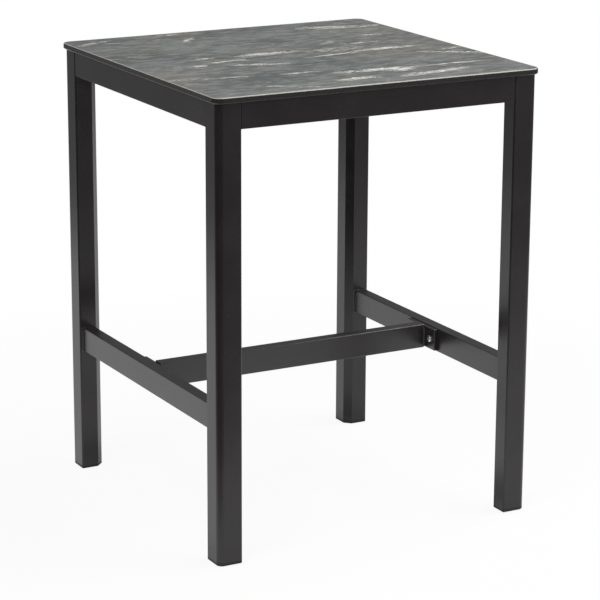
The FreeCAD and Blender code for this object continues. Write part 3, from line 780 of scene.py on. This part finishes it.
def apply_modifier(piece: bpy.types.Object, kind: str, **settings: Any) -> None:
    """Add a modifier, set it and apply it.

    Args:
        piece: The piece.
        kind: The modifier's type.
        settings: Its properties.
    """
    select_only(piece)
    modifier = piece.modifiers.new(kind.lower(), kind)
    for name, setting in settings.items():
        setattr(modifier, name, setting)
    bpy.ops.object.modifier_apply(modifier=modifier.name)


def copy_to(pattern: bpy.types.Object, name: str, place: Vector) -> bpy.types.Object:
    """Copy a piece that was modelled at the origin to its place.

    Args:
        pattern: The piece to copy.
        name: The copy's name.
        place: Where it goes.

    Returns:
        The copy, with a mesh of its own.
    """
    select_only(pattern)
    bpy.ops.object.duplicate()
    copy = bpy.context.object
    copy.name = name
    copy.data.name = name
    bpy.ops.transform.translate(value=place)
    settle(copy)
    return copy


def discard(piece: bpy.types.Object) -> None:
    """Remove a pattern once its copies are made."""
    select_only(piece)
    bpy.ops.object.delete()


# Sub-assemblies


@dataclass
class FootRest:
    """The weld beads where the stretchers and the cross bar meet their end plates."""

    bead_radius: float = 0.0021
    bead_flat: float = 0.62
    bead_segments: int = 16
    bead_rings: int = 10
    ripple_pitch: float = 0.0016
    end_margin: float = 0.004
    voxel: float = 0.00042

    def model_bead(self, length: float) -> bpy.types.Object:
        """Model one upright weld bead as a row of overlapping ripples under one skin.

        Args:
            length: The bead's length.

        Returns:
            The bead, centred on the origin.
        """
        deselect()
        bpy.ops.mesh.primitive_uv_sphere_add(
            segments=self.bead_segments, ring_count=self.bead_rings, radius=self.bead_radius,
        )
        bead = bpy.context.object
        bead.scale.z = self.bead_flat
        settle(bead)
        ripples = int((length - 2 * self.bead_radius) / self.ripple_pitch)
        apply_modifier(
            bead, "ARRAY", count=ripples, use_relative_offset=False, use_constant_offset=True,
            constant_offset_displace=(0.0, 0.0, self.ripple_pitch),
        )
        apply_modifier(bead, "REMESH", mode="VOXEL", voxel_size=self.voxel)
        select_only(bead)
        bpy.ops.transform.translate(value=(0.0, 0.0, -(ripples - 1) * self.ripple_pitch / 2))
        settle(bead)
        bpy.ops.object.shade_smooth()
        return bead

    def bead_places(self) -> dict[str, Vector]:
        """Find where the beads run.

        Returns:
            The middle of each bead by its name.
        """
        places: dict[str, Vector] = {}
        for side in Side:
            low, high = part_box(f"side_stretcher_{side.value}")
            middle = (low.z + high.z) / 2
            for end, y in ((End.FRONT, low.y), (End.BACK, high.y)):
                places[f"weld_{end.value}_{side.value}_1"] = Vector((low.x, y, middle))
                places[f"weld_{end.value}_{side.value}_2"] = Vector((high.x, y, middle))
        low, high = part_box("cross_bar")
        middle = (low.z + high.z) / 2
        for side, x in ((Side.LEFT, low.x), (Side.RIGHT, high.x)):
            places[f"weld_cross_bar_{side.value}_1"] = Vector((x, low.y, middle))
            places[f"weld_cross_bar_{side.value}_2"] = Vector((x, high.y, middle))
        return places

    def build(self, finishes: Finishes) -> None:
        """Model the beads, dress them and let them ride on the frame.

        Args:
            finishes: The table's materials.
        """
        low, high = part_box("cross_bar_end_plate_left")
        pattern = self.model_bead(high.z - low.z - self.end_margin)
        for name, place in self.bead_places().items():
            bead = copy_to(pattern, name, place)
            finishes.apply(bead, finishes.foot_rest_coat)
            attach(bead, "frame")
            log.info("%s built", name)
        discard(pattern)


@dataclass
class LevellingFeet:
    """The threaded studs of the feet, each with a real helix."""

    pitch: float = 0.00125
    turn_steps: int = 24
    ridge_sides: int = 3
    core_sides: int = 32
    end_bevel: float = 0.0008
    bevel_segments: int = 2
    runout: float = 0.0012
    merge_distance: float = 0.00000125
    smooth_angle: float = 35.0

    def model_stud(self, radius: float, length: float, root: float) -> bpy.types.Object:
        """Model a stud that stands on the origin.

        Args:
            radius: The thread's outer radius.
            length: The stud's length.
            root: The plain length that is set in the pad.

        Returns:
            The stud.
        """
        # The ridge is a triangle whose foot is sunk in the core. Its tip is as far proud of the radius.
        ridge_radius = self.pitch / 2
        ridge_height = 1.5 * ridge_radius
        sunk = self.pitch / 24
        core = radius - ridge_height + 2 * sunk
        deselect()
        bpy.ops.mesh.primitive_cylinder_add(
            vertices=self.core_sides, radius=core, depth=length, location=(0.0, 0.0, length / 2),
        )
        stud = bpy.context.object
        settle(stud)
        apply_modifier(
            stud, "BEVEL", width=self.end_bevel, segments=self.bevel_segments, limit_method="ANGLE",
        )

        upright = Matrix(((0, 1, 0), (0, 0, 1), (1, 0, 0))).to_euler()
        deselect()
        bpy.ops.mesh.primitive_circle_add(
            vertices=self.ridge_sides, radius=ridge_radius, rotation=upright,
            location=(core + ridge_radius / 2 - sunk, 0.0, root),
        )
        ridge = bpy.context.object
        settle(ridge)
        turns = int((length - root - self.runout) / self.pitch)
        apply_modifier(
            ridge, "SCREW", axis="Z", angle=math.tau, screw_offset=self.pitch, iterations=turns,
            steps=self.turn_steps, render_steps=self.turn_steps, use_normal_calculate=True,
        )
        select_only(ridge)
        bpy.ops.object.mode_set(mode="EDIT")
        bpy.ops.mesh.select_all(action="SELECT")
        bpy.ops.mesh.remove_doubles(threshold=self.merge_distance)
        bpy.ops.mesh.fill_holes(sides=self.ridge_sides)
        bpy.ops.mesh.normals_make_consistent(inside=False)
        bpy.ops.object.mode_set(mode="OBJECT")
        select_only(ridge, stud)
        bpy.ops.object.join()
        bpy.ops.object.shade_smooth_by_angle(angle=math.radians(self.smooth_angle))
        return bpy.context.object

    def build(self, finishes: Finishes) -> None:
        """Model the studs, dress them and let each ride on its foot in place of the plain one.

        Args:
            finishes: The table's materials.
        """
        low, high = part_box(f"foot_stud_{Corner.FRONT_LEFT.value}")
        pad_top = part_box(f"foot_pad_{Corner.FRONT_LEFT.value}")[1].z
        pattern = self.model_stud((high.x - low.x) / 2, high.z - low.z, pad_top - low.z)
        for corner in Corner:
            node = f"foot_stud_{corner.value}"
            low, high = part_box(node)
            place = Vector(((low.x + high.x) / 2, (low.y + high.y) / 2, low.z))
            stud = copy_to(pattern, f"threaded_stud_{corner.value}", place)
            finishes.apply(stud, finishes.materials[Slot.ZINC])
            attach(stud, f"foot_{corner.value}")
            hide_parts(node)
            log.info("%s built", stud.name)
        discard(pattern)


# Studio


@dataclass(frozen=True)
class Lamp:
    """One square soft box: its place, width and power."""

    name: str
    place: Triple
    width: float
    power: float


@dataclass
class Studio:
    """A white floor and surround, soft boxes and the camera."""

    # The floor as the camera sees it
    floor_width: float = 40.0
    floor_grey: float = 0.92
    shadow_share: float = 0.09
    shadow_band: Band = (0.9, 1.8)

    # The floor as gloss shows it: a lit sheet, what lies beyond, a lane along the view, shade by the feet
    sheet_width: float = 4.0
    sheet_front: float = 0.9
    sheet_fade: float = 0.5
    sheet_dim: float = 0.9
    sheet_dim_band: Band = (0.62, 0.95)
    beyond_grey: float = 0.30
    dim_grey: float = 0.03
    dim_side: Triple = (-0.85, -0.52, 0.0)
    dim_band: Band = (0.4, 2.0)
    lane_grey: float = 0.25
    lane_middle: float = 0.15
    lane_width: float = 0.7
    foot_shade: float = 0.55
    foot_shade_inward: float = 0.09
    foot_shade_band: Band = (0.02, 0.22)

    # The surround, and its grades from low to high where gloss shows it
    ambient: float = 0.34
    low_grey: float = 0.16
    high_grey: float = 0.80
    grade_band: Band = (0.3, 0.8)

    lamps: tuple[Lamp, ...] = (
        Lamp("soft_box_left", (-2.6, -1.6, 3.0), 2.2, 58.0),
        Lamp("soft_box_right", (2.1, -3.3, 2.3), 2.0, 28.0),
        Lamp("soft_box_above", (2.1, -0.6, 3.8), 2.4, 94.0),
    )
    aim: Triple = (0.0, 0.0, 0.5)

    # The camera, with its angles in degrees
    sensor: float = 36.0
    focal_pixels: float = 2456.5
    picture_pixels: float = 600.0
    camera_place: Triple = (-2.2877, -4.2220, 1.7134)
    yaw: float = -28.607
    pitch: float = 15.319
    roll: float = 0.275

    def reflected_grey(self, paint: Paint, place: Signal) -> Signal:
        """Grade the floor as gloss shows it.

        Args:
            paint: The floor's material.
            place: Each point's place.

        Returns:
            The grey, nought to one.
        """
        yaw = math.radians(self.yaw)
        across = paint.dot(place, (math.cos(yaw), math.sin(yaw), 0.0))
        along = paint.dot(place, (-math.sin(yaw), math.cos(yaw), 0.0))
        dimward = paint.dot(place, self.dim_side)
        reach = self.sheet_width / 2
        soft = self.sheet_fade / 2
        on_width = 1 - paint.math("ABSOLUTE", across).risen(reach - soft, reach + soft)
        on_sheet = on_width * along.risen(-self.sheet_front - soft, -self.sheet_front + soft)
        on_sheet = on_sheet * (1 - self.sheet_dim * dimward.risen(*self.sheet_dim_band))
        beyond = self.beyond_grey + (self.dim_grey - self.beyond_grey) * dimward.risen(*self.dim_band)
        off_lane = paint.math("ABSOLUTE", across - self.lane_middle).risen(0.0, self.lane_width / 2)
        beyond = paint.math("MAXIMUM", beyond, self.lane_grey * (1 - off_lane))
        grey = on_sheet + (1 - on_sheet) * beyond

        low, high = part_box(f"foot_pad_{Corner.BACK_RIGHT.value}")
        inside = (low + high) / 2 - Vector((self.foot_shade_inward, self.foot_shade_inward, 0.0))
        mirrored = paint.vector_math("ABSOLUTE", place)
        from_foot = paint.vector_math("DISTANCE", mirrored, (inside.x, inside.y, 0.0), "Value")
        by_foot = 1 - from_foot.risen(*self.foot_shade_band)
        return grey * (1 - self.foot_shade * by_foot)

    def build_floor(self) -> None:
        """Lay a white floor that keeps the table's shadow and shows in gloss as a lit patch."""
        deselect()
        bpy.ops.mesh.primitive_plane_add(size=self.floor_width)
        floor = bpy.context.object
        floor.name = "studio_floor"
        paint = Paint(bpy.data.materials.new("white_floor"))
        place = paint.place()
        camera = paint.ray(Ray.CAMERA)
        seen = (camera + paint.ray(Ray.GLOSSY) + paint.ray(Ray.TRANSMISSION)).clamped()
        level = camera + (1 - camera) * self.reflected_grey(paint, place)
        lit = paint.add("ShaderNodeBsdfDiffuse", {}, {"Color": (self.floor_grey,) * 3 + (1.0,)})
        white = paint.add("ShaderNodeEmission", {}, {"Color": level})
        away = paint.vector_math("LENGTH", place, output="Value")
        shadow = self.shadow_share * (1 - away.risen(*self.shadow_band))
        share = seen - camera * shadow
        paint.close(paint.add("ShaderNodeMixShader", {}, {0: share, 1: lit, 2: white}))
        floor.data.materials.append(paint.owner)

    def build_world(self) -> None:
        """Surround the table with white that lights it plainly and is graded where gloss shows it."""
        world = bpy.data.worlds.new("white_surround")
        paint = Paint(world)
        height = paint.axis(paint.add("ShaderNodeTexCoord", output="Generated"), "Z")
        graded = self.low_grey + (self.high_grey - self.low_grey) * height.risen(*self.grade_band)
        plain = (paint.ray(Ray.CAMERA) + paint.ray(Ray.TRANSMISSION)).clamped()
        glossy = paint.ray(Ray.GLOSSY)
        level = plain + (1 - plain) * (glossy * graded + (1 - glossy) * self.ambient)
        paint.close(paint.add("ShaderNodeBackground", {}, {"Color": level}))
        bpy.context.scene.world = world

    def build_lamps(self) -> None:
        """Hang the soft boxes, each facing the table."""
        for lamp in self.lamps:
            deselect()
            bpy.ops.object.light_add(type="AREA", location=lamp.place)
            light = bpy.context.object
            light.name = lamp.name
            light.data.size = lamp.width
            light.data.energy = lamp.power
            toward = Vector(self.aim) - Vector(lamp.place)
            light.rotation_euler = toward.to_track_quat("-Z", "Y").to_euler()

    def build_camera(self) -> None:
        """Set the camera at the photograph's viewing angle."""
        deselect()
        bpy.ops.object.camera_add()
        camera = bpy.context.object
        camera.name = "photo_camera"
        camera.data.sensor_width = self.sensor
        camera.data.lens = self.sensor * self.focal_pixels / self.picture_pixels
        tilt = Matrix.Rotation(math.radians(self.roll), 3, "Z")
        lift = Matrix.Rotation(math.pi / 2 - math.radians(self.pitch), 3, "X")
        turn = Matrix.Rotation(math.radians(self.yaw), 3, "Z")
        camera.matrix_world = Matrix.Translation(self.camera_place) @ (turn @ lift @ tilt).to_4x4()
        bpy.context.scene.camera = camera

    def build(self) -> None:
        """Set up everything around the table."""
        self.build_floor()
        self.build_world()
        self.build_lamps()
        self.build_camera()
        bpy.context.scene.view_settings.view_transform = "Standard"


def main() -> None:
    """Dress the frame, add the fine pieces and set up the studio."""
    logging.basicConfig(level=logging.INFO, format="%(message)s")
    finishes = Finishes()
    finishes.dress_nodes()
    FootRest().build(finishes)
    LevellingFeet().build(finishes)
    Studio().build()


if __name__ == "__main__":
    main()
